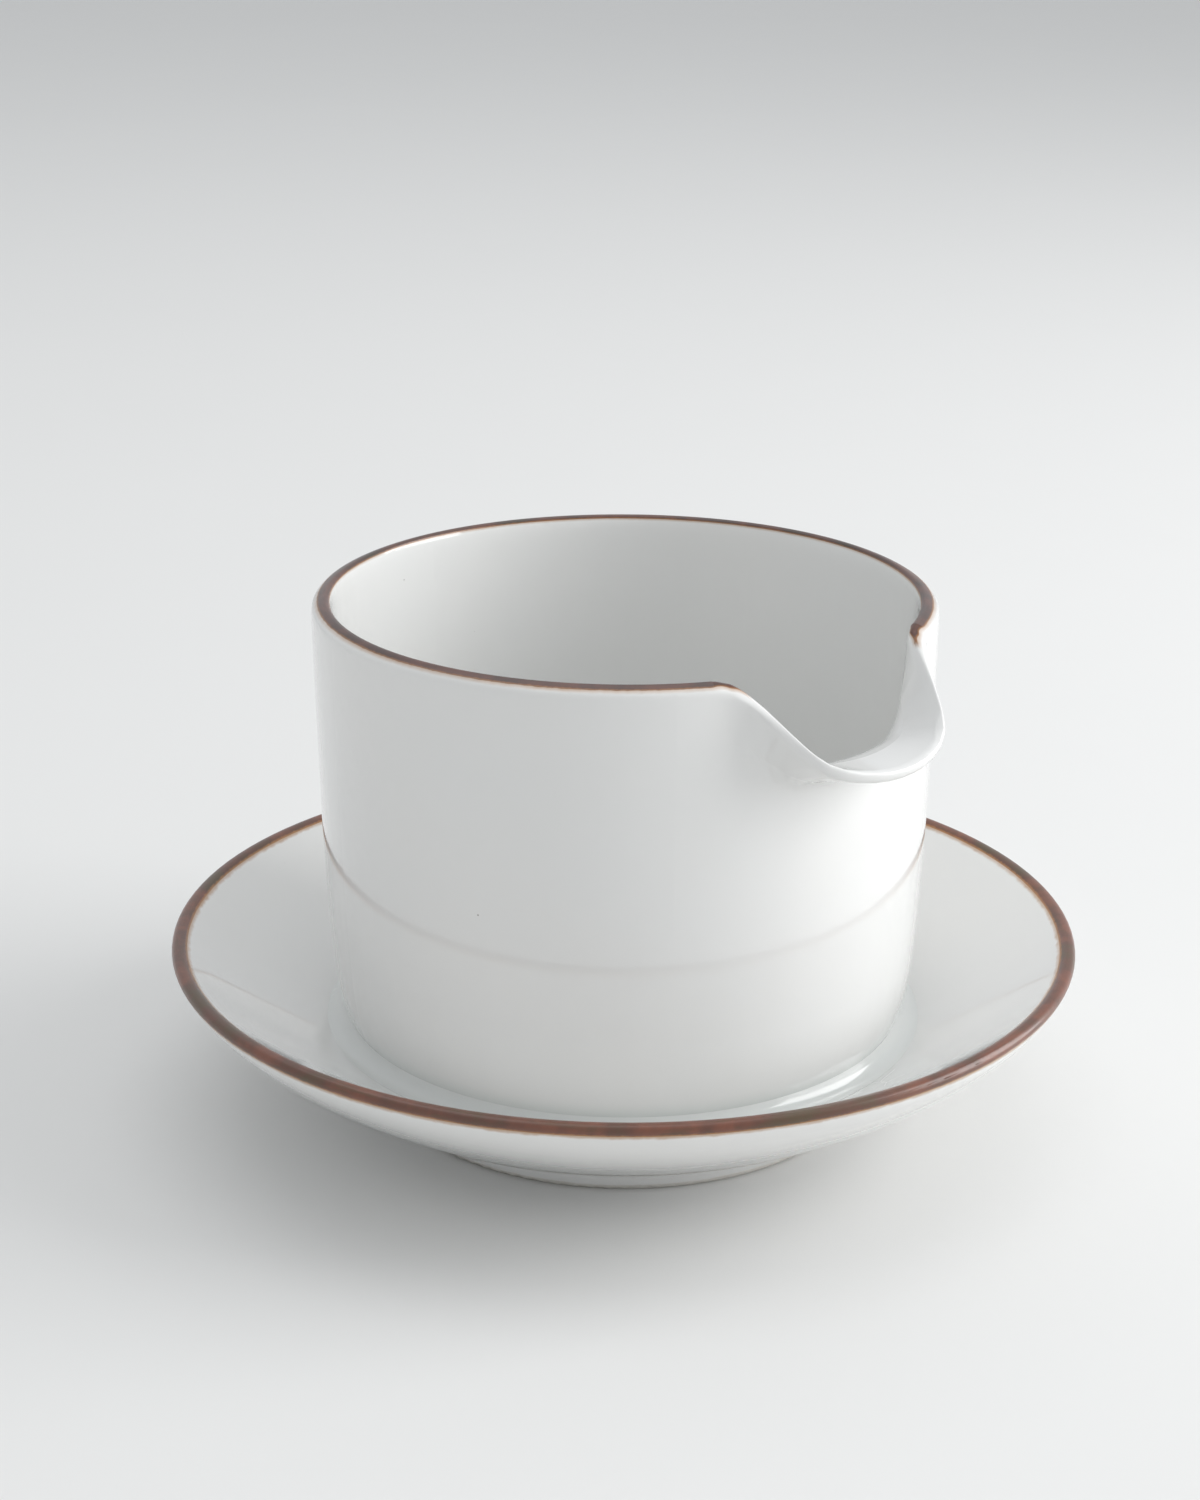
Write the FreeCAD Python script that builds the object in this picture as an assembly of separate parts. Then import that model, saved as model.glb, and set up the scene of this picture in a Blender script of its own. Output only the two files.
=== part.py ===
import FreeCAD, Part
import math
import os

# Gravy boat with an attached underplate.  All sizes are in millimetres.
#
# The axis of the vessel is +Z and the spout points along +X.  The origin is the
# centre of the ring that the foot stands on.  The vessel and the underplate are
# two porcelain pieces, luted together with slip.  A band of brown glaze lies
# flush in the lip of each.

# ---- driving dimensions ------------------------------------------------------

# overall
saucer_radius = 82.5            # lip of the underplate
saucer_rim_height = 31.9        # top of its lip above the foot plane
vessel_rim_radius = 55.4        # outside of the vessel at its rim
vessel_rim_height = 95.1        # top of the vessel's rim above the foot plane

# underplate
foot_radius = 44.4              # outside of the foot ring
foot_width = 4.4                # radial width of the foot ring
foot_height = 2.8               # outside height of the foot ring
foot_edge = 0.9                 # rounding of the foot's two lower edges
recess_depth = 3.4              # height of the ceiling inside the foot ring
well_height = 11.0              # top of the flat well above the foot plane
well_inset = 13.4               # the flat of the well ends this far inside the vessel's rim
saucer_wall = 2.5               # thickness at the lip
lip_inner_drop = 0.45           # the lip's inner edge lies this far under its crest
flare_inset = 2.8               # how far in the lower curve of the flare starts to turn
flare_drop = 9.0                # how far down from the lip it does so
dish_turn_outset = 4.6          # the upper curve of the dish turns this far outside the vessel's rim
dish_turn_rise = 4.2            # its height there above the well

# vessel
vessel_wall = 3.6               # thickness of the wall
vessel_floor = 4.6              # thickness of the floor
# the rim's poles, in halves of its wall: up along the wall, and outwards across it
rim_poles = ((0.50, 0.85), (1.12, -0.25), (0.92, -0.85))
base_taper = 3.0                # the wall is this much narrower at its base
base_corner = 9.5               # height of the rounded outer corner of the base
base_corner_width = 14.4        # its width, which leaves room for the rising dish
floor_corner = 10.0             # inner corner of the floor

# spout
spout_half_angle = 26.5         # degrees from the spout's middle to where the rim is level again
spout_flat = 0.42               # share of that angle before the lip climbs steeply
spout_crown = 0.77              # how round the lip is before that
spout_reach = 13.1              # how far the lip stands out past the rim
spout_drop = 14.8               # how far the lip lies below the rim
spout_turn = 85.0               # degrees that the wall leans outwards at the lip
spout_fold = 0.62               # how tight the fold is where the wall turns into the lip
spout_shelf = 1.04              # how far back the lip's level part reaches, as a share of its reach
spout_root = 33.0               # the wall is plain below this depth under the rim
spout_lip_wall = 2.1            # thickness of the lip, which is pulled thin

# luting slip between the two
slip_gap = 0.4                  # layer under the vessel
slip_rise = 2.2                 # how far the fillet climbs the vessel
slip_spread = 2.4               # how far it runs out on the underplate
slip_hollow = 0.35              # how hollow the fillet's face is

# brown bands
band_depth = 0.8                # depth of the band's bed at its middle
band_bed_power = 4              # how flat the bed's middle is
band_arcs = 12                  # arcs that make up each side of a band's section
vessel_band_inside = 0.42       # how far it comes down inside the rim
vessel_band_shoulder = 1.1      # white shoulder left outside it
vessel_band_gap = 0.5           # degrees from the spout to the ends of the band
saucer_band_inside = 2.8        # width of the band across the lip
saucer_band_outside = 0.5       # how far it comes down outside the lip

cutter_margin = 3.0             # how far the cutters of the beds stand clear of the lips

# grid of the vessel's skin
angle_steps = 150               # poles round the vessel
skin_patches = 5                # patches round the vessel, the spout in the middle of one

# ---- values worked out from them ---------------------------------------------

vessel_base = well_height + slip_gap
vessel_floor_top = vessel_base + vessel_floor
base_wall_radius = vessel_rim_radius - base_taper
well_radius = vessel_rim_radius - well_inset
dish_turn_radius = vessel_rim_radius + dish_turn_outset
inner_foot_radius = foot_radius - foot_width


# ---- helpers -----------------------------------------------------------------

def vec(radius, height):
    """A point in the plane of the section, radius along X and height along Z."""
    return FreeCAD.Vector(radius, 0.0, height)


def line(start, end):
    """A straight edge."""
    return Part.LineSegment(start, end).toShape()


def arc(start, middle, end):
    """A circular edge through three points."""
    return Part.Arc(start, middle, end).toShape()


def bezier(*poles):
    """A Bezier edge on the given poles."""
    curve = Part.BezierCurve()
    curve.setPoles(list(poles))
    return curve.toShape()


def crossing(curve, reached, start=None):
    """The first parameter past the start at which a curve's point meets a test."""
    steps = 20000
    low = curve.FirstParameter if start is None else start
    stride = (curve.LastParameter - low) / steps
    for index in range(steps + 1):
        parameter = low + stride * index
        if reached(curve.value(parameter)):
            return parameter
    raise ValueError("the curve never gets there")


def bed_points(outline):
    """The bed of a band: below an outline by the band's depth, and in it at both ends.

    The outline's points run outwards over a lip, with the porcelain on their right.
    """
    count = len(outline)
    bed = [outline[0]]
    for index in range(1, count - 1):
        ahead = outline[index + 1].sub(outline[index - 1])
        ahead.normalize()
        share = 2.0 * index / (count - 1) - 1.0
        depth = band_depth * (1.0 - share ** band_bed_power)
        bed.append(outline[index].add(vec(ahead.z * depth, -ahead.x * depth)))
    bed.append(outline[-1])
    return bed


def arcs_through(points):
    """Short arcs, each through three of the points, one after another."""
    return [arc(*points[index:index + 3]) for index in range(0, len(points) - 2, 2)]


def band_outline(edges, start):
    """Points at even distances along the edges, from the given start, for a band's arcs."""
    wire = Part.Wire(Part.__sortEdges__(edges))
    points = wire.discretize(Number=2 * band_arcs + 1)
    if points[0].distanceToPoint(start) > points[-1].distanceToPoint(start):
        points.reverse()
    return points


def revolved(edges, start_angle=0.0, sweep=360.0):
    """The solid that a closed outline in the section plane sweeps about Z."""
    face = Part.Face(Part.Wire(Part.__sortEdges__(edges)))
    axis_point = FreeCAD.Vector(0, 0, 0)
    axis = FreeCAD.Vector(0, 0, 1)
    face.rotate(axis_point, axis, start_angle)
    return face.revolve(axis_point, axis, sweep)


def one_solid(shape):
    """The shape as one clean solid."""
    solids = shape.Solids
    if len(solids) != 1:
        raise ValueError("expected one solid, found %d" % len(solids))
    return solids[0]


# ---- underplate --------------------------------------------------------------

def lip_points():
    """Inner edge, crest and outer edge of the underplate's lip."""
    inner = vec(saucer_radius - saucer_wall, saucer_rim_height - lip_inner_drop)
    crest = vec(saucer_radius - 0.45 * saucer_wall, saucer_rim_height)
    outer = vec(saucer_radius, saucer_rim_height - 0.50 * saucer_wall)
    return inner, crest, outer


def dish_curve():
    """Upper face of the underplate, from the flat well to the lip."""
    inner, _, _ = lip_points()
    turn = vec(dish_turn_radius, well_height + dish_turn_rise)
    return bezier(vec(well_radius, well_height), turn, inner)


def flare_curve():
    """Lower face of the underplate, from the lip to the foot ring."""
    _, _, outer = lip_points()
    turn = vec(saucer_radius - flare_inset, outer.z - flare_drop)
    return bezier(outer, turn, vec(foot_radius + 0.9, foot_height))


def lip_arcs():
    """The three points of each arc of the lip: dish to crest and crest to flare."""
    inner, crest, outer = lip_points()
    inner_way = vec(saucer_radius - 0.78 * saucer_wall, saucer_rim_height - 0.08)
    outer_way = vec(saucer_radius - 0.12 * saucer_wall, saucer_rim_height - 0.16 * saucer_wall)
    return (inner, inner_way, crest), (crest, outer_way, outer)


def make_underplate():
    """The underplate with its foot ring, before its band is let in."""
    foot_top = vec(foot_radius + 0.9, foot_height)
    outer_foot = vec(foot_radius, foot_edge)
    bottom_out = vec(foot_radius - foot_edge, 0.0)
    bottom_in = vec(inner_foot_radius + foot_edge, 0.0)
    inner_foot = vec(inner_foot_radius, foot_edge)
    recess_wall = vec(inner_foot_radius - 0.4, recess_depth - 0.8)
    recess_way = vec(inner_foot_radius - 0.7, recess_depth - 0.25)
    recess_ceiling = vec(inner_foot_radius - 1.4, recess_depth)
    bend = foot_edge * (1.0 - math.sqrt(0.5))
    edges = [
        line(vec(0.0, recess_depth), recess_ceiling),
        arc(recess_ceiling, recess_way, recess_wall),
        line(recess_wall, inner_foot),
        arc(inner_foot, vec(inner_foot_radius + bend, bend), bottom_in),
        line(bottom_in, bottom_out),
        arc(bottom_out, vec(foot_radius - bend, bend), outer_foot),
        line(outer_foot, foot_top),
        flare_curve(),
        *[arc(*points) for points in lip_arcs()],
        dish_curve(),
        line(vec(well_radius, well_height), vec(0.0, well_height)),
        line(vec(0.0, well_height), vec(0.0, recess_depth)),
    ]
    return revolved(edges)


def make_saucer_band():
    """The underplate's band, and the cutter that makes its bed."""
    dish = dish_curve().Curve
    flare = flare_curve().Curve
    start = crossing(dish, lambda point: point.x >= saucer_radius - saucer_band_inside)
    end = crossing(flare, lambda point: point.z <= lip_points()[2].z - saucer_band_outside)
    edges = [
        dish.toShape(start, dish.LastParameter),
        *[arc(*points) for points in lip_arcs()],
        flare.toShape(flare.FirstParameter, end),
    ]
    outline = band_outline(edges, dish.value(start))
    first, last = outline[0], outline[-1]
    above = saucer_rim_height + cutter_margin
    beside = saucer_radius + cutter_margin
    bed = arcs_through(bed_points(outline))
    band = revolved(arcs_through(outline) + bed)
    cutter = revolved(bed + [
        line(last, vec(beside, last.z)),
        line(vec(beside, last.z), vec(beside, above)),
        line(vec(beside, above), vec(first.x, above)),
        line(vec(first.x, above), first),
    ])
    return band, cutter


# ---- vessel ------------------------------------------------------------------

def spout_share(angle):
    """How much of the spout's shape the wall has at an angle from its middle."""
    share = abs(angle) / spout_half_angle
    if share >= 1.0:
        return 0.0
    climb = max(0.0, (share - spout_flat) / (1.0 - spout_flat))
    crown = 1.0 - spout_crown * share * share
    return crown * (1.0 - climb * climb * (3.0 - 2.0 * climb))


def wall_radius(height):
    """Outer radius of the plain wall at a height above the foot plane."""
    depth = (vessel_rim_height - height) / (vessel_rim_height - vessel_base)
    return vessel_rim_radius - base_taper * (0.35 * depth + 0.65 * depth ** 3)


def upper_wall(angle):
    """Middle line of the upper wall at an angle: points with tangents and thickness.

    The middle line is a cubic curve that leaves the plain wall upright.  At the
    spout it turns outwards and ends at the lowered lip.
    """
    share = spout_share(angle)
    root_height = vessel_rim_height - spout_root
    lip_wall = vessel_wall + (spout_lip_wall - vessel_wall) * share
    rim_middle = vessel_rim_radius - 0.5 * vessel_wall
    start = (wall_radius(root_height) - 0.5 * vessel_wall, root_height)
    end = (rim_middle + spout_reach * share, vessel_rim_height - 0.5 * lip_wall - spout_drop * share)
    lean = math.radians(spout_turn) * share
    reach = spout_root - spout_drop * share
    low_handle = reach * (0.33 + spout_fold * share)
    high_handle = reach * 0.33 + (spout_shelf * spout_reach - reach * 0.33) * share
    poles = [
        start,
        (start[0] + 0.02 * low_handle * (1.0 - share), start[1] + low_handle),
        (end[0] - high_handle * math.sin(lean), end[1] - high_handle * math.cos(lean)),
        end,
    ]
    stations = []
    for step in range(1, 9):
        t = step / 8.0
        s = 1.0 - t
        weights = (s ** 3, 3 * s * s * t, 3 * s * t * t, t ** 3)
        slopes = (-3 * s * s, 3 * s * s - 6 * s * t, 6 * s * t - 3 * t * t, 3 * t * t)
        radius = sum(w * p[0] for w, p in zip(weights, poles))
        height = sum(w * p[1] for w, p in zip(weights, poles))
        along_r = sum(w * p[0] for w, p in zip(slopes, poles))
        along_z = sum(w * p[1] for w, p in zip(slopes, poles))
        length = math.hypot(along_r, along_z)
        thickness = vessel_wall + (lip_wall - vessel_wall) * t * t
        stations.append((radius, height, along_r / length, along_z / length, thickness))
    return stations


def section_poles(angle):
    """Poles of the skin's section at an angle, from under the base round to the floor."""
    root_height = vessel_rim_height - spout_root
    lower_heights = [0.55, 0.75, 0.90, 1.0]
    corner_top = vessel_base + base_corner
    outer = [
        (base_wall_radius - 1.00 * base_corner_width, vessel_base),
        (base_wall_radius - 0.62 * base_corner_width, vessel_base),
        (base_wall_radius - 0.29 * base_corner_width, vessel_base + 0.17 * base_corner),
        (base_wall_radius - 0.09 * base_corner_width, vessel_base + 0.53 * base_corner),
        (wall_radius(corner_top + 4.0), corner_top + 4.0),
    ]
    inner = []
    for part in lower_heights:
        height = corner_top + 4.0 + (root_height - corner_top - 4.0) * part
        outer.append((wall_radius(height), height))
        inner.append((wall_radius(height) - vessel_wall, height))
    floor_radius = wall_radius(vessel_floor_top + floor_corner) - vessel_wall
    inner_low = [
        (floor_radius - 1.3 * floor_corner, vessel_floor_top),
        (floor_radius - 0.6 * floor_corner, vessel_floor_top),
        (floor_radius - 0.12 * floor_corner, vessel_floor_top + 0.12 * floor_corner),
        (floor_radius + 0.1, vessel_floor_top + 0.7 * floor_corner),
        (wall_radius(vessel_floor_top + 1.3 * floor_corner) - vessel_wall, vessel_floor_top + 1.3 * floor_corner),
    ]
    stations = upper_wall(angle)
    for radius, height, tangent_r, tangent_z, thickness in stations:
        half = 0.5 * thickness
        outer.append((radius + tangent_z * half, height - tangent_r * half))
        inner.append((radius - tangent_z * half, height + tangent_r * half))
    radius, height, tangent_r, tangent_z, thickness = stations[-1]
    half = 0.5 * thickness
    lip = []
    for along, across in rim_poles:
        lip.append((
            radius + half * (along * tangent_r + across * tangent_z),
            height + half * (along * tangent_z - across * tangent_r),
        ))
    return outer + lip + inner[::-1] + inner_low[::-1]


def clamped_knots(count, degree):
    """Knots and multiplicities of a clamped uniform B-spline."""
    inside = count - degree
    knots = [float(index) for index in range(inside + 1)]
    mults = [degree + 1] + [1] * (inside - 1) + [degree + 1]
    return knots, mults


def skin_surface():
    """The vessel's whole skin as one surface, closed round the axis, seam at the back."""
    degree = 3
    step = 2.0 * math.pi / angle_steps
    # the poles lie this much outside the curve that they make
    spread = 3.0 / (2.0 + math.cos(step))
    grid = []
    for index in range(angle_steps):
        angle = index * step - math.pi
        row = []
        for radius, height in section_poles(math.degrees(angle)):
            around = FreeCAD.Vector(math.cos(angle), math.sin(angle), 0.0)
            row.append(around.multiply(spread * radius).add(FreeCAD.Vector(0.0, 0.0, height)))
        grid.append(row)
    round_knots = [float(index) for index in range(angle_steps + 1)]
    round_mults = [1] * (angle_steps + 1)
    knots, mults = clamped_knots(len(grid[0]), degree)
    surface = Part.BSplineSurface()
    surface.buildFromPolesMultsKnots(
        grid, round_mults, mults, round_knots, knots, True, False, degree, degree)
    return surface


def make_vessel_skin():
    """The vessel as one solid: a smooth skin in patches, closed by its base and its floor."""
    whole = skin_surface()
    _, _, low, high = whole.bounds()
    curve = plain_section_curve()
    under_lip = vessel_rim_height - 3.0 * vessel_wall
    lip_start = round(crossing(curve, lambda point: point.z >= under_lip))
    lip_end = round(crossing(curve, lambda point: point.x < vessel_rim_radius - 0.5 * vessel_wall, lip_start))
    lip_end += lip_end - lip_start
    patch_steps = angle_steps / skin_patches
    faces = []
    for index in range(skin_patches):
        for below, above in ((low, lip_start), (lip_start, lip_end), (lip_end, high)):
            patch = whole.copy()
            patch.segment(index * patch_steps, (index + 1) * patch_steps, below, above)
            faces.append(patch.toShape())
    for height in (vessel_base, vessel_floor_top):
        rim = [edge for face in faces for edge in face.Edges
               if edge.BoundBox.ZLength < 0.01 and abs(edge.BoundBox.ZMin - height) < 0.01]
        faces.append(Part.Face(Part.Wire(Part.__sortEdges__(rim))))
    shell = Part.Shell(faces)
    shell.sewShape()
    solid = Part.Solid(shell)
    if solid.Volume < 0.0:
        solid.reverse()
    return solid


def plain_section_curve():
    """The vessel's section away from the spout as a curve in the section plane."""
    poles = [vec(radius, height) for radius, height in section_poles(180.0)]
    knots, mults = clamped_knots(len(poles), 3)
    curve = Part.BSplineCurve()
    curve.buildFromPolesMultsKnots(poles, mults, knots, False, 3)
    return curve


def make_vessel_band():
    """The vessel's band, open at the spout, and the cutter that makes its bed."""
    curve = plain_section_curve()
    before_lip = crossing(curve, lambda point: point.z >= vessel_rim_height - 3.0 * vessel_wall)
    crest_at = crossing(curve, lambda point: point.x <= vessel_rim_radius - 0.5 * vessel_wall, before_lip)
    shoulder = vessel_rim_radius - vessel_band_shoulder
    inner_height = curve.value(crest_at).z - vessel_band_inside
    outer_at = crossing(curve, lambda point: point.x <= shoulder, before_lip)
    inner_at = crossing(curve, lambda point: point.z <= inner_height, crest_at)
    outline = band_outline([curve.toShape(outer_at, inner_at)], curve.value(inner_at))
    inner, outer = outline[0], outline[-1]
    above = vessel_rim_height + cutter_margin
    inside = inner.x - cutter_margin
    start = spout_half_angle + vessel_band_gap
    sweep = 360.0 - 2.0 * start
    bed = arcs_through(bed_points(outline))
    band = revolved(arcs_through(outline) + bed, start, sweep)
    cutter = revolved(bed + [
        line(outer, vec(outer.x, above)),
        line(vec(outer.x, above), vec(inside, above)),
        line(vec(inside, above), vec(inside, inner.z)),
        line(vec(inside, inner.z), inner),
    ], start, sweep)
    return band, cutter


# ---- luting slip -------------------------------------------------------------

def make_slip():
    """Slip between the vessel and the underplate, squeezed out into a fillet."""
    dish = dish_curve().Curve
    skin = plain_section_curve()
    landing_at = crossing(dish, lambda point: point.x >= base_wall_radius + slip_spread)
    landing = dish.value(landing_at)
    top_at = crossing(skin, lambda point: point.z >= landing.z + slip_rise)
    top = skin.value(top_at)
    waist = vec(0.58 * top.x + 0.42 * landing.x - slip_hollow, 0.42 * top.z + 0.58 * landing.z - slip_hollow)
    base_edge = skin.value(skin.FirstParameter)
    edges = [
        line(vec(0.0, well_height), vec(well_radius, well_height)),
        dish.toShape(dish.FirstParameter, landing_at),
        arc(landing, waist, top),
        skin.toShape(skin.FirstParameter, top_at),
        line(base_edge, vec(0.0, vessel_base)),
        line(vec(0.0, vessel_base), vec(0.0, well_height)),
    ]
    return revolved(edges)


# ---- the parts ---------------------------------------------------------------

def make_parts():
    """Every node by its name."""
    saucer_band, saucer_cutter = make_saucer_band()
    vessel_band, vessel_cutter = make_vessel_band()
    return {
        "vessel": make_vessel_skin().cut(vessel_cutter),
        "underplate": make_underplate().cut(saucer_cutter),
        "luting_slip": make_slip(),
        "vessel_rim_band": vessel_band,
        "underplate_rim_band": saucer_band,
    }


os.makedirs("parts", exist_ok=True)
for name, shape in make_parts().items():
    solid = one_solid(shape)
    solid.exportStep("parts/%s.step" % name)
    box = solid.BoundBox
    print("%-22s valid %s  volume %10.1f  z %.2f to %.2f  x %.2f to %.2f" % (
        name, solid.isValid(), solid.Volume, box.ZMin, box.ZMax, box.XMin, box.XMax))
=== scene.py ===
"""The looks of a porcelain gravy boat that is luted to its underplate.

Every length is in metres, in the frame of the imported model: +Z up, the axis of
the vessel on Z, the spout along +X and the foot ring standing on Z = 0.
"""

import logging
import math
from dataclasses import dataclass
from enum import Enum
from typing import Dict, Sequence, Tuple, Union

import bpy
from mathutils import Matrix, Vector

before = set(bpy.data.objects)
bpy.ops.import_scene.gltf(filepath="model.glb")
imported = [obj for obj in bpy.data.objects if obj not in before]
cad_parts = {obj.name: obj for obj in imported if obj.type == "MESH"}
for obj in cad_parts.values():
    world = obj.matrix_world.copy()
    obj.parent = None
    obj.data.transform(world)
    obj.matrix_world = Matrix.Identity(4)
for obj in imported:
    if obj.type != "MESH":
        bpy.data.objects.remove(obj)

LOG = logging.getLogger("gravy_boat")
MM = 0.001

Number = Union[float, int]
Colour = Tuple[float, float, float]


class Piece(Enum):
    """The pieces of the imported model."""

    VESSEL = "vessel"
    UNDERPLATE = "underplate"
    SLIP = "luting_slip"
    VESSEL_BAND = "vessel_rim_band"
    UNDERPLATE_BAND = "underplate_rim_band"


# ---- shader maths ------------------------------------------------------------


class Socket:
    """An output socket that takes part in Python expressions."""

    def __init__(self, graph: "Graph", link: bpy.types.NodeSocket) -> None:
        """Wrap a socket.

        Args:
            graph: the graph that the socket belongs to.
            link: the output socket.
        """
        self.graph = graph
        self.link = link

    def output(self, name: Union[int, str]) -> "Socket":
        """Another output of the same node."""
        return Socket(self.graph, self.link.node.outputs[name])

    def _math(self, operation: str, *values: "Term") -> "Socket":
        """A Math node on some values."""
        return self.graph.add("ShaderNodeMath", {"operation": operation}, values)

    def __add__(self, other: "Term") -> "Socket":
        """self + other."""
        return self._math("ADD", self, other)

    def __radd__(self, other: Number) -> "Socket":
        """other + self."""
        return self._math("ADD", other, self)

    def __sub__(self, other: "Term") -> "Socket":
        """self - other."""
        return self._math("SUBTRACT", self, other)

    def __rsub__(self, other: Number) -> "Socket":
        """other - self."""
        return self._math("SUBTRACT", other, self)

    def __mul__(self, other: "Term") -> "Socket":
        """self * other."""
        return self._math("MULTIPLY", self, other)

    def __rmul__(self, other: Number) -> "Socket":
        """other * self."""
        return self._math("MULTIPLY", other, self)

    def __truediv__(self, other: "Term") -> "Socket":
        """self / other."""
        return self._math("DIVIDE", self, other)

    def __pow__(self, other: "Term") -> "Socket":
        """self ** other."""
        return self._math("POWER", self, other)

    def __abs__(self) -> "Socket":
        """The value without its sign."""
        return self._math("ABSOLUTE", self)

    def above(self, other: "Term") -> "Socket":
        """1 where self is more than other, and 0 elsewhere."""
        return self._math("GREATER_THAN", self, other)

    def rise(self, low: Number, high: Number) -> "Socket":
        """Map self smoothly onto the range from 0 to 1.

        Args:
            low: the value that gives 0.
            high: the value that gives 1; where it is less than low, the map falls.

        Returns:
            The mapped value.
        """
        first, last, start, end = (low, high, 0.0, 1.0) if low <= high else (high, low, 1.0, 0.0)
        values = (self, first, last, start, end)
        return self.graph.add("ShaderNodeMapRange", {"interpolation_type": "SMOOTHSTEP"}, values)

    def near(self, centre: Number, reach: Number) -> "Socket":
        """1 where self equals centre, falling smoothly to 0 at a distance of reach."""
        return abs(self - centre).rise(reach, 0.0)


Term = Union[Socket, Number]
Paint = Union[Socket, Colour]


class Graph:
    """The node graph of one material."""

    def __init__(self, name: str) -> None:
        """Start an empty material.

        Args:
            name: the material's name.
        """
        self.material = bpy.data.materials.new(name)
        self.material.use_nodes = True
        self.tree = self.material.node_tree
        self.tree.nodes.clear()

    def add(
        self,
        kind: str,
        settings: Dict[str, object],
        values: Union[Sequence[object], Dict[Union[int, str], object]] = (),
        output: Union[int, str] = 0,
    ) -> Union[Socket, None]:
        """Add a node.

        Args:
            kind: the node's type.
            settings: its settings, which are made first.
            values: what its input sockets get, in order or by name.
            output: the output that is wanted.

        Returns:
            That output, or None where the node has none.
        """
        node = self.tree.nodes.new(kind)
        for key, value in settings.items():
            if key == "stops":
                self._set_stops(node.color_ramp, value)
            else:
                setattr(node, key, value)
        pairs = values.items() if isinstance(values, dict) else enumerate(values)
        for key, value in pairs:
            self._feed(node.inputs[key], value)
        return Socket(self, node.outputs[output]) if len(node.outputs) else None

    def _feed(self, socket: bpy.types.NodeSocket, value: object) -> None:
        """Link an input socket, or set its own value.

        Args:
            socket: the input socket.
            value: a wrapped socket, a number, a colour or a vector.
        """
        if isinstance(value, Socket):
            self.tree.links.new(value.link, socket)
        elif socket.type == "RGBA":
            socket.default_value = (*value, 1.0)
        else:
            socket.default_value = value

    @staticmethod
    def _set_stops(ramp: bpy.types.ColorRamp, stops: Sequence[Tuple[float, Colour]]) -> None:
        """Give a colour ramp its stops.

        Args:
            ramp: the ramp.
            stops: the place and the colour of each stop.
        """
        while len(ramp.elements) < len(stops):
            ramp.elements.new(1.0)
        for element, (place, colour) in zip(ramp.elements, stops):
            element.position = place
            element.color = (*colour, 1.0)

    def place(self) -> Socket:
        """A point's place in the frame, in metres."""
        return self.add("ShaderNodeTexCoord", {}, (), "Object")

    def round_axis(self) -> Tuple[Socket, Socket, Socket]:
        """The distance from the vessel's axis, the height, and the angle from the spout of a point."""
        x = self.add("ShaderNodeSeparateXYZ", {}, (self.place(),))
        y, height = x.output(1), x.output(2)
        angle = self.add("ShaderNodeMath", {"operation": "ARCTAN2"}, (y, x))
        return (x * x + y * y) ** 0.5, height, angle

    def vector(self, x: Term, y: Term, z: Term) -> Socket:
        """Three values as a vector."""
        return self.add("ShaderNodeCombineXYZ", {}, (x, y, z))

    def shifted(self, offset: float) -> Socket:
        """The place in the frame, moved by an offset along all three axes."""
        return self.add("ShaderNodeVectorMath", {"operation": "ADD"}, (self.place(), (offset,) * 3))

    def noise(self, scale: float, detail: float = 2.0, rough: float = 0.5, at: Socket = None) -> Socket:
        """Noise.

        Args:
            scale: how many features there are in a metre.
            detail: how many octaves finer it goes.
            rough: how strong the finer octaves are.
            at: where it is read, or None for the place in the frame.

        Returns:
            A value around 0.5.
        """
        values = {"Vector": at or self.place(), "Scale": scale, "Detail": detail, "Roughness": rough}
        return self.add("ShaderNodeTexNoise", {}, values, "Fac")

    def specks(self, scale: float, size: float, share: float, offset: float) -> Socket:
        """Sparse round specks of uneven size.

        Args:
            scale: how many cells there are in a metre.
            size: a speck's radius as a share of a cell.
            share: the share of the cells that hold a speck.
            offset: how far the pattern is moved.

        Returns:
            1 in the middle of a speck and 0 outside.
        """
        values = {"Vector": self.shifted(offset), "Scale": scale}
        cells = self.add("ShaderNodeTexVoronoi", {}, values, "Distance")
        pick = self.add("ShaderNodeSeparateColor", {}, (cells.output("Color"),))
        smallest, solid = 0.3, 0.4
        grown = pick.output(1) * (1.0 - smallest) + smallest
        return (cells / grown).rise(size, solid * size) * pick.above(1.0 - share)

    def mix(self, share: Term, first: Paint, second: Paint, blend: str = "MIX") -> Socket:
        """Two colours mixed.

        Args:
            share: how much of the second colour there is.
            first: the colour at 0.
            second: the colour at 1.
            blend: the way they mix.

        Returns:
            The mixed colour.
        """
        settings = {"data_type": "RGBA", "blend_type": blend}
        return self.add("ShaderNodeMix", settings, {0: share, 6: first, 7: second}, 2)

    def bump(self, height: Term, distance: float, strength: float, over: Socket = None) -> Socket:
        """A normal from a relief.

        Args:
            height: the relief, from 0 to 1.
            distance: the height in metres that 1 stands for.
            strength: how strongly it shows.
            over: the normal that it is laid over, or None for the surface's own.

        Returns:
            The normal.
        """
        values = {"Strength": strength, "Distance": distance, "Height": height}
        if over is not None:
            values["Normal"] = over
        return self.add("ShaderNodeBump", {}, values)

    def finish(self, **values: object) -> bpy.types.Material:
        """Close the graph with a Principled shader.

        Args:
            **values: what its sockets get, with underscores for spaces.

        Returns:
            The material.
        """
        named = {key.replace("_", " "): value for key, value in values.items()}
        shader = self.add("ShaderNodeBsdfPrincipled", {}, named)
        self.add("ShaderNodeOutputMaterial", {}, {"Surface": shader})
        return self.material


# ---- finishes ----------------------------------------------------------------


@dataclass
class Layers:
    """What a shader will take for one surface, while the layers on it are laid."""

    colour: Socket
    rough: Term
    metal: Term
    coat: Term
    normal: Socket


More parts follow.
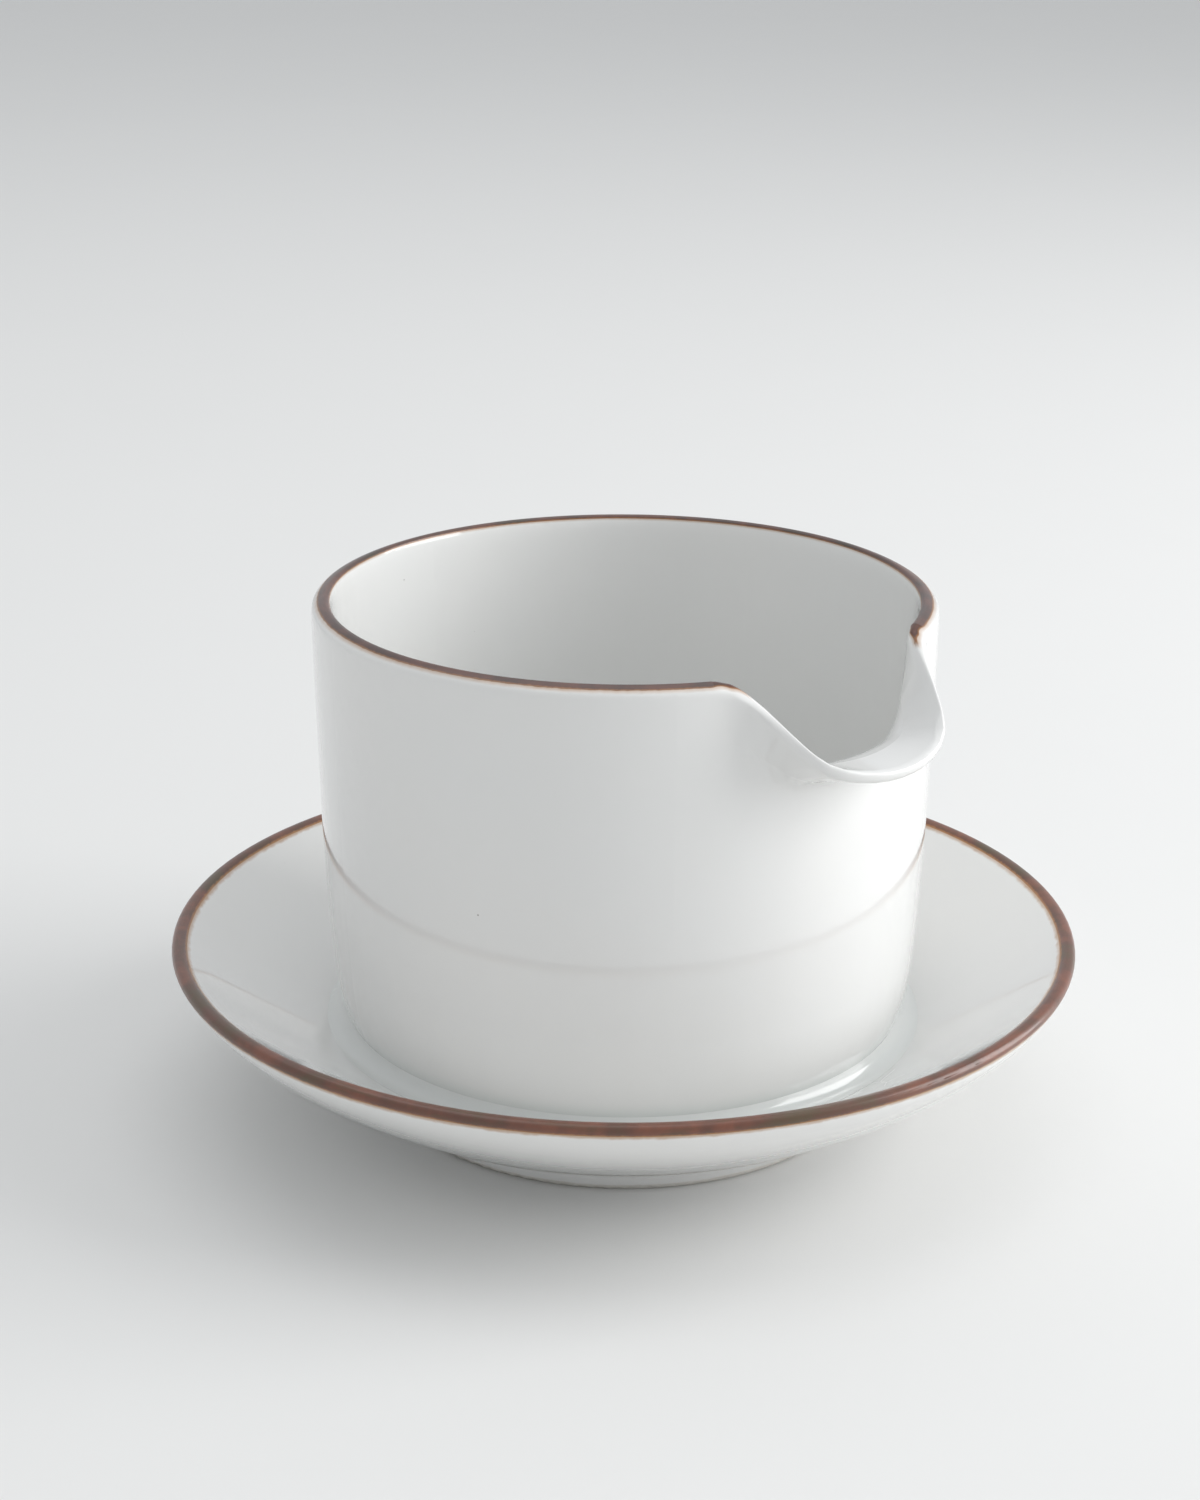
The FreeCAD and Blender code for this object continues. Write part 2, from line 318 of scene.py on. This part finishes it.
@dataclass(frozen=True)
class IronBrown:
    """Iron-brown glaze, brushed round a rim, that thins to amber at its margins."""

    streak_radius: float
    plum: Colour = (0.118, 0.044, 0.026)
    red: Colour = (0.190, 0.062, 0.032)
    olive: Colour = (0.092, 0.056, 0.025)
    amber: Colour = (0.40, 0.185, 0.06)
    amber_share: float = 0.85
    streak_stretch: float = 0.16
    streak_scale: float = 900.0
    grain_scale: float = 3600.0
    patch_scale: float = 75.0
    relief_depth: float = 0.06 * MM
    coat: float = 0.4

    def lay(self, g: Graph, thin: Term, cover: Term = 1.0, over: Union[Socket, None] = None) -> Layers:
        """Lay the glaze.

        Args:
            g: the graph.
            thin: where it is thin, from 0 to 1.
            cover: where its relief shows, from 0 to 1.
            over: the normal that it is laid over, or None for the surface's own.

        Returns:
            Its layers.
        """
        radius, height, angle = g.round_axis()
        along = g.vector(angle * (self.streak_stretch * self.streak_radius), radius, height)
        streaks = g.noise(self.streak_scale, 4.0, 0.6, along)
        grain = g.noise(self.grain_scale, 3.0, 0.7)
        stops = ((0.34, self.olive), (0.45, self.plum), (0.57, self.red), (0.70, self.plum))
        patches = g.noise(self.patch_scale, 4.0, 0.62)
        colour = g.add("ShaderNodeValToRGB", {"stops": stops}, (patches,))
        colour = g.mix(streaks.rise(0.48, 0.70) * 0.55, colour, self.olive)
        colour = g.mix(grain.rise(0.55, 0.72) * 0.35, colour, self.red)
        colour = g.mix(thin * self.amber_share, colour, self.amber)
        rough = 0.24 + 0.18 * streaks + 0.10 * grain
        metal = grain.rise(0.62, 0.76) * 0.3
        relief = (streaks * 0.6 + grain * 0.4) * cover
        return Layers(colour, rough, metal, self.coat, g.bump(relief, self.relief_depth, 0.5, over))


# The vessel's rim is a darker plum than the saucer's, with fainter amber margins.
VESSEL_BROWN = IronBrown(
    streak_radius=54.0 * MM, plum=(0.066, 0.030, 0.024), red=(0.120, 0.043, 0.028),
    olive=(0.048, 0.034, 0.021), amber_share=0.55,
)
SAUCER_BROWN = IronBrown(streak_radius=82.5 * MM)


@dataclass(frozen=True)
class Rim:
    """The vessel's rim, level but for the spout, and where its brown band runs out; in metres and radians."""

    margin: float
    half_angle: float
    flat: float
    crown: float
    drop: float
    tip: float
    tip_length: float = 0.055
    tip_narrowing: float = 0.55 * MM
    tip_blur: float = 0.012
    thick_above: float = 0.22 * MM
    thin_below: float = 0.05 * MM

    def above_margin(self, g: Graph) -> Socket:
        """The height of a point above the band's margin, counted from the lowered lip at the spout."""
        _, height, angle = g.round_axis()
        turn = abs(angle) / self.half_angle
        fall = abs(angle).rise(self.half_angle, self.flat * self.half_angle)
        share = (1.0 - self.crown * turn * turn) * fall
        narrowed = abs(angle).rise(self.tip + self.tip_length, self.tip) * self.tip_narrowing
        return height + share * self.drop - narrowed - self.margin

    def beyond_tip(self, g: Graph) -> Socket:
        """1 where the band runs, and 0 at the spout."""
        _, _, angle = g.round_axis()
        return abs(angle).rise(self.tip - self.tip_blur, self.tip + self.tip_blur)

    def thinning(self, above: Socket) -> Socket:
        """Where the band is thin, from a height above its margin."""
        return above.rise(self.thick_above, self.thin_below)


@dataclass(frozen=True)
class Margin:
    """The edge of a brown band on the dish, where it stains the clear glaze beside it."""

    radius: float
    height: float
    reach: float

    def stain(self, g: Graph, radius: Socket, height: Socket) -> Socket:
        """How strongly the iron of the band has run into the clear glaze.

        Args:
            g: the graph.
            radius: the distance from the axis.
            height: the height.

        Returns:
            A value that is highest at the edge and 0 beyond its reach.
        """
        across = radius - self.radius
        up = height - self.height
        apart = (across * across + up * up) ** 0.5
        ragged = apart + (g.noise(420.0, 3.0) - 0.5) * (0.9 * self.reach)
        return ragged.rise(self.reach, 0.15 * self.reach) * (0.35 + 0.6 * g.noise(85.0, 2.0))


@dataclass(frozen=True)
class PorcelainGlaze:
    """Clear glaze on white porcelain: slow waves, a few specks, light wear, stained margins, and, where
    heights are given, a darker greenish-grey band that is partly pooled glaze and partly painted shade at the
    join.
    """

    name: str
    margins: Tuple[Margin, ...] = ()
    rim: Union[Rim, None] = None
    dry_below: float = 0.0
    worn_below: float = 0.0
    dish_slope: float = 0.6
    under_dish: float = -21.0 * MM
    # Heights of a band painted darker and greenish grey: partly pooled glaze, partly painted shade in the
    # crease at the join.
    pooled_and_shaded: Tuple[float, float] = (0.0, 0.0)
    white: Colour = (0.825, 0.825, 0.812)
    cool: Colour = (0.790, 0.802, 0.802)
    warm: Colour = (0.825, 0.812, 0.785)
    # The tint of that band: pooled-glaze green darkened as painted shade.
    pool_and_shade: Colour = (0.700, 0.735, 0.715)
    speck: Colour = (0.12, 0.09, 0.07)
    scratch: Colour = (0.45, 0.45, 0.45)
    stain: Colour = (0.44, 0.215, 0.07)
    clay: Colour = (0.68, 0.665, 0.625)
    old_clay: Colour = (0.56, 0.535, 0.49)
    wave_depth: float = 0.35 * MM
    grit_depth: float = 0.08 * MM

    def material(self) -> bpy.types.Material:
        """Build the material.

        Returns:
            The finished material.
        """
        g = Graph(self.name)
        radius, height, _ = g.round_axis()
        on = self._clear(g)
        # Paint the band of pooled glaze and painted shade, darker and greenish where the vessel meets the
        # dish.
        low, high = self.pooled_and_shaded
        if high > low:
            pool_and_shade_share = height.near(0.5 * (low + high), 0.5 * (high - low))
            on.colour = g.mix(pool_and_shade_share * 0.6, on.colour, self.pool_and_shade)
        for margin in self.margins:
            on.colour = g.mix(margin.stain(g, radius, height), on.colour, self.stain)
        if self.worn_below > 0.0:
            self._wear(g, on, radius, height)
        if self.dry_below > 0.0:
            self._bare_foot(g, on, height)
        if self.rim is not None:
            self._brown_tips(g, on)
        return g.finish(
            Base_Color=on.colour, Roughness=on.rough, Metallic=on.metal, Coat_Weight=on.coat,
            Coat_Roughness=0.04, Coat_IOR=1.5, Specular_IOR_Level=0.25, Normal=on.normal,
        )

    def _clear(self, g: Graph) -> Layers:
        """The clear glaze over the white body, with specks of iron and pinholes."""
        dots = g.specks(240.0, 0.060, 0.10, 0.013)
        colour = g.mix(0.55, self.white, g.mix(g.noise(22.0, 3.0), self.cool, self.warm))
        colour = g.mix(dots * 0.6, colour, self.speck)
        colour = g.mix(g.specks(90.0, 0.055, 0.14, 0.031) * 0.14, colour, self.speck)
        rough = 0.12 + 0.08 * g.noise(60.0, 4.0)
        coat = 0.88 + 0.12 * g.noise(35.0)
        waves = g.noise(36.0, 1.0) * 0.95 + g.noise(430.0, 2.0) * 0.035 - dots * 0.2
        return Layers(colour, rough, 0.0, coat, g.bump(waves, self.wave_depth, 0.35))

    def _wear(self, g: Graph, on: Layers, radius: Socket, height: Socket) -> None:
        """Scratch the lower part of the dish, on its upper side only.

        Args:
            g: the graph.
            on: the layers so far.
            radius: the distance from the axis.
            height: the height.
        """
        fade = 4.0 * MM
        marks = self._scratches(g) * height.rise(self.worn_below + fade, self.worn_below - fade)
        marks = marks * (height - radius * self.dish_slope).above(self.under_dish)
        on.colour = g.mix(marks * 0.14, on.colour, self.scratch)
        on.rough = on.rough + marks * 0.25
        on.coat = on.coat - marks * 0.45

    def _bare_foot(self, g: Graph, on: Layers, height: Socket) -> None:
        """Leave the foot ring's edge unglazed.

        Args:
            g: the graph.
            on: the layers so far.
            height: the height.
        """
        grain = g.noise(2600.0, 4.0, 0.7)
        ragged = g.noise(300.0, 3.0) * 0.6 * MM
        dry = (height - ragged).rise(self.dry_below, 0.4 * self.dry_below)
        on.colour = g.mix(dry, on.colour, g.mix(grain, self.clay, self.old_clay))
        on.rough = on.rough + dry * 0.6
        on.coat = on.coat * (1.0 - dry)
        on.normal = g.bump(grain * dry, self.grit_depth, 0.8, on.normal)

    def _brown_tips(self, g: Graph, on: Layers) -> None:
        """Carry the brown band on beside the spout, where it comes to a point on the falling lip.

        Args:
            g: the graph.
            on: the layers so far.
        """
        up = self.rim.above_margin(g) + (g.noise(700.0, 2.0) - 0.5) * (0.16 * MM)
        beyond = self.rim.beyond_tip(g)
        patchy = 0.25 + 0.6 * g.noise(90.0, 2.0)
        on.colour = g.mix(up.rise(-0.55 * MM, 0.0) * beyond * patchy, on.colour, self.stain)
        painted = up.rise(-0.05 * MM, 0.05 * MM) * beyond
        brown = VESSEL_BROWN.lay(g, self.rim.thinning(up), painted, on.normal)
        on.colour = g.mix(painted, on.colour, brown.colour)
        on.rough = on.rough + painted * (brown.rough - on.rough)
        on.coat = on.coat - painted * 0.5
        on.metal = painted * brown.metal
        on.normal = brown.normal

    @staticmethod
    def _scratches(g: Graph) -> Socket:
        """Thin curved marks that cutlery leaves in the glaze."""
        sway = g.add("ShaderNodeTexNoise", {}, {"Vector": g.place(), "Scale": 14.0}, "Color")
        sway = g.add("ShaderNodeVectorMath", {"operation": "SCALE"}, {0: sway, "Scale": 0.05})
        bent = g.add("ShaderNodeVectorMath", {"operation": "ADD"}, (g.place(), sway))
        settings = {"feature": "DISTANCE_TO_EDGE"}
        lines = g.add("ShaderNodeTexVoronoi", settings, {"Vector": bent, "Scale": 34.0}, "Distance")
        return lines.rise(0.0045, 0.001) * g.noise(45.0, 1.0).rise(0.52, 0.66)


def band_material(glaze: IronBrown, g: Graph, thin: Term) -> bpy.types.Material:
    """Finish a band that is brown all over.

    Args:
        glaze: the brown glaze.
        g: the graph.
        thin: where the glaze is thin, from 0 to 1.

    Returns:
        The finished material.
    """
    brown = glaze.lay(g, thin)
    return g.finish(
        Base_Color=brown.colour, Roughness=brown.rough, Metallic=brown.metal, Coat_Weight=brown.coat,
        Coat_Roughness=0.15, IOR=1.55, Normal=brown.normal,
    )


# ---- the pieces --------------------------------------------------------------


def put_on(piece: Piece, material: bpy.types.Material) -> None:
    """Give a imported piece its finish.

    Args:
        piece: the piece.
        material: the finish.
    """
    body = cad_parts[piece.value]
    body.data.materials.clear()
    body.data.materials.append(material)
    LOG.info("%s: %s", piece.value, material.name)


@dataclass
class Vessel:
    """The round jug and the brown band on its rim."""

    band_margin: float = 94.60 * MM
    spout_half_angle: float = math.radians(26.5)
    spout_flat: float = 0.42
    spout_crown: float = 0.77
    spout_drop: float = 16.4 * MM
    band_tip: float = math.radians(21.4)
    # Heights low on the vessel, by its join with the dish, painted darker and greenish: pooled glaze and
    # painted shade.
    pooled_and_shaded: Tuple[float, float] = (13.0 * MM, 21.0 * MM)

    def rim(self) -> Rim:
        """The course of the rim and of its band."""
        return Rim(
            self.band_margin, self.spout_half_angle, self.spout_flat, self.spout_crown,
            self.spout_drop, self.band_tip,
        )

    def dress(self) -> None:
        """Glaze the wall and its band."""
        rim = self.rim()
        put_on(Piece.VESSEL, PorcelainGlaze("vessel glaze", rim=rim, pooled_and_shaded=self.pooled_and_shaded).material())
        g = Graph("vessel band")
        up = rim.above_margin(g) + (g.noise(1400.0, 3.0) - 0.5) * (0.2 * MM)
        put_on(Piece.VESSEL_BAND, band_material(VESSEL_BROWN, g, rim.thinning(up)))


@dataclass
class Underplate:
    """The deep dish with its flared side and foot ring, and the band on its rim."""

    band_inner: Tuple[float, float] = (79.70 * MM, 31.21 * MM)
    band_outer: Tuple[float, float] = (82.32 * MM, 30.15 * MM)
    stain_reach: float = 0.9 * MM
    thin_width: float = 0.45 * MM
    crest_radius: float = 81.0 * MM
    dry_foot: float = 1.1 * MM
    worn_below: float = 24.0 * MM

    def dress(self) -> None:
        """Glaze the dish and its band."""
        edges = (self.band_inner, self.band_outer)
        margins = tuple(Margin(*edge, self.stain_reach) for edge in edges)
        glaze = PorcelainGlaze(
            "underplate glaze", margins, dry_below=self.dry_foot, worn_below=self.worn_below,
        )
        put_on(Piece.UNDERPLATE, glaze.material())
        g = Graph("underplate band")
        radius, height, _ = g.round_axis()
        ragged = (g.noise(1100.0, 3.0) - 0.5) * self.thin_width
        thinnest = 0.1 * self.thin_width
        inner = (radius + ragged - self.band_inner[0]).rise(self.thin_width, thinnest)
        outer = (height + ragged - self.band_outer[1]).rise(self.thin_width, thinnest)
        thin = inner + outer * radius.above(self.crest_radius)
        put_on(Piece.UNDERPLATE_BAND, band_material(SAUCER_BROWN, g, thin))


@dataclass
class Join:
    """The soft fillet of slip and glaze between the vessel and the dish."""

    # Heights on the fillet painted darker and greenish: pooled glaze and painted shade in the crease between
    # the pieces.
    pooled_and_shaded: Tuple[float, float] = (12.0 * MM, 20.0 * MM)

    def dress(self) -> None:
        """Glaze the fillet, painted darker and greenish along it as pooled glaze and painted shade."""
        put_on(Piece.SLIP, PorcelainGlaze("slip glaze", pooled_and_shaded=self.pooled_and_shaded).material())


# ---- the studio --------------------------------------------------------------


@dataclass(frozen=True)
class Lamp:
    """A soft square lamp that points at the vessel, placed by degrees from the spout and the floor."""

    name: str
    heading: float
    height: float
    distance: float
    size: float
    power: float


@dataclass
class Studio:
    """The floor, the lamps and the camera."""

    eye: Tuple[float, float, float] = (0.3475, -0.3162, 0.2328)
    heading: float = math.radians(138.23)
    pitch: float = math.radians(-19.63)
    roll: float = math.radians(0.155)
    lens: float = 66.3
    floor_size: float = 14.0
    floor: Colour = (0.80, 0.80, 0.79)
    floor_shade: Colour = (0.76, 0.76, 0.755)
    world: Colour = (0.86, 0.88, 0.90)
    world_strength: float = 0.70
    lamp_target: float = 40.0 * MM
    lamps: Tuple[Lamp, ...] = (
        Lamp("window", 50.0, 22.0, 1.3, 1.0, 14.5),
        Lamp("ceiling", 150.0, 78.0, 1.6, 1.6, 6.0),
    )

    def build(self) -> None:
        """Set up the whole studio."""
        self._lay_floor()
        self._light_world()
        for lamp in self.lamps:
            self._hang(lamp)
        self._aim_camera()
        bpy.context.scene.view_settings.view_transform = "Standard"

    def _lay_floor(self) -> None:
        """Lay the pale floor."""
        half = 0.5 * self.floor_size
        mesh = bpy.data.meshes.new("floor")
        corners = [(-half, -half, 0.0), (half, -half, 0.0), (half, half, 0.0), (-half, half, 0.0)]
        mesh.from_pydata(corners, [], [(0, 1, 2, 3)])
        floor = bpy.data.objects.new("floor", mesh)
        bpy.context.scene.collection.objects.link(floor)
        g = Graph("pale floor")
        tone = g.mix(g.noise(6.0, 3.0) * 0.25, self.floor, self.floor_shade)
        mesh.materials.append(g.finish(Base_Color=tone, Roughness=0.6 + 0.1 * g.noise(40.0)))

    def _light_world(self) -> None:
        """Surround the scene with an even pale light."""
        world = bpy.data.worlds.new("studio")
        world.use_nodes = True
        backdrop = world.node_tree.nodes["Background"]
        backdrop.inputs["Color"].default_value = (*self.world, 1.0)
        backdrop.inputs["Strength"].default_value = self.world_strength
        bpy.context.scene.world = world

    def _hang(self, lamp: Lamp) -> None:
        """Hang a lamp.

        Args:
            lamp: the lamp.
        """
        light = bpy.data.lights.new(lamp.name, "AREA")
        light.shape = "SQUARE"
        light.size = lamp.size
        light.energy = lamp.power
        hung = bpy.data.objects.new(lamp.name, light)
        bpy.context.scene.collection.objects.link(hung)
        turn, lift = math.radians(lamp.heading), math.radians(lamp.height)
        flat = math.cos(lift)
        away = Vector((flat * math.cos(turn), flat * math.sin(turn), math.sin(lift)))
        hung.location = away * lamp.distance + Vector((0.0, 0.0, self.lamp_target))
        hung.rotation_euler = away.to_track_quat("Z", "Y").to_euler()

    def _aim_camera(self) -> None:
        """Place the camera."""
        lens = bpy.data.cameras.new("camera")
        lens.lens = self.lens
        lens.sensor_width = 36.0
        lens.sensor_fit = "AUTO"
        lens.clip_start = 0.01
        camera = bpy.data.objects.new("camera", lens)
        bpy.context.scene.collection.objects.link(camera)
        ahead = Vector((
            math.cos(self.pitch) * math.cos(self.heading),
            math.cos(self.pitch) * math.sin(self.heading),
            math.sin(self.pitch),
        ))
        right = ahead.cross(Vector((0.0, 0.0, 1.0))).normalized()
        up = right.cross(ahead)
        turned = right * math.cos(self.roll) + up * math.sin(self.roll)
        up = turned.cross(ahead)
        aim = Matrix((turned, up, -ahead)).transposed().to_4x4()
        camera.matrix_world = Matrix.Translation(self.eye) @ aim
        bpy.context.scene.camera = camera


def main() -> None:
    """Build the pieces in order, and then the studio."""
    logging.basicConfig(level=logging.INFO, format="%(name)s: %(message)s")
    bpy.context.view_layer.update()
    for part in (Vessel(), Underplate(), Join()):
        part.dress()
    Studio().build()


if __name__ == "__main__":
    main()
